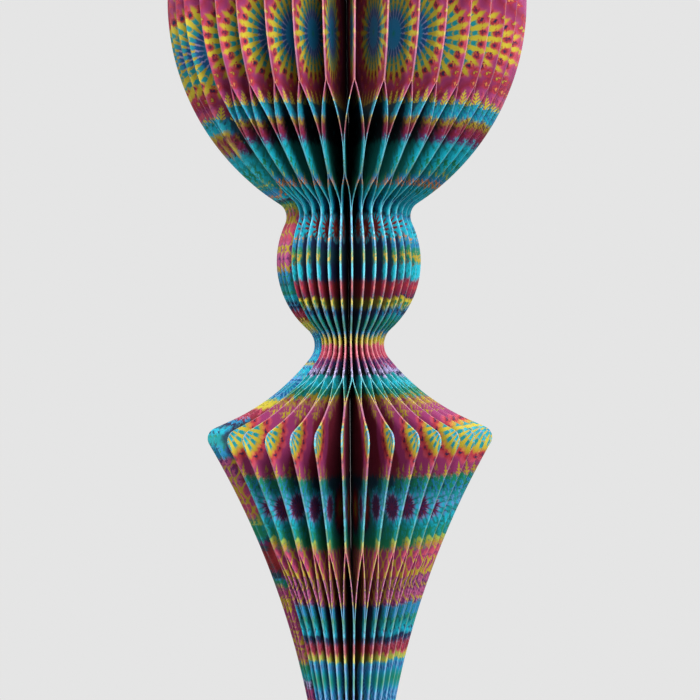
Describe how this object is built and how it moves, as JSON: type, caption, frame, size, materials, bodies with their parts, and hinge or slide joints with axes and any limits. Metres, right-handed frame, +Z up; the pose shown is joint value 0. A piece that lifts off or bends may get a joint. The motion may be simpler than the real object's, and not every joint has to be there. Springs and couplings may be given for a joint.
{
  "type": "paper finial ornament",
  "caption": "Hanging finial of glued, fanned paper leaves: a ball, a small bulb, a flared skirt and a long taper, printed in a tie-dye pattern.",
  "frame": {"origin": "on the axis, at the top end of the spine channel that the leaves stand round", "axes": "+Z up along the spine channel, -Y towards the viewer"},
  "size_m": [0.1072, 0.1073, 0.3229],
  "materials": {
    "printed_paper": "tie-dye print in teal, blue, magenta, yellow and green on both faces, satin, with pale cut edges"
  },
  "bodies": {
    "root": {"first_leaf": "printed_paper", "leaf_pair_01": "printed_paper", "leaf_pair_02": "printed_paper", "leaf_pair_03": "printed_paper", "leaf_pair_04": "printed_paper", "leaf_pair_05": "printed_paper", "leaf_pair_06": "printed_paper", "leaf_pair_07": "printed_paper", "leaf_pair_08": "printed_paper", "leaf_pair_09": "printed_paper", "leaf_pair_10": "printed_paper", "leaf_pair_11": "printed_paper", "leaf_pair_12": "printed_paper", "leaf_pair_13": "printed_paper", "leaf_pair_14": "printed_paper", "leaf_pair_15": "printed_paper", "leaf_pair_16": "printed_paper", "leaf_pair_17": "printed_paper", "leaf_pair_18": "printed_paper", "leaf_pair_19": "printed_paper", "leaf_pair_20": "printed_paper", "leaf_pair_21": "printed_paper", "leaf_pair_22": "printed_paper", "leaf_pair_23": "printed_paper", "leaf_pair_24": "printed_paper", "leaf_pair_25": "printed_paper", "leaf_pair_26": "printed_paper", "leaf_pair_27": "printed_paper", "leaf_pair_28": "printed_paper", "leaf_pair_29": "printed_paper", "leaf_pair_30": "printed_paper", "leaf_pair_31": "printed_paper", "leaf_pair_32": "printed_paper", "leaf_pair_33": "printed_paper", "leaf_pair_34": "printed_paper", "leaf_pair_35": "printed_paper", "leaf_pair_36": "printed_paper", "leaf_pair_37": "printed_paper", "last_leaf": "printed_paper"}
  },
  "joints": []
}
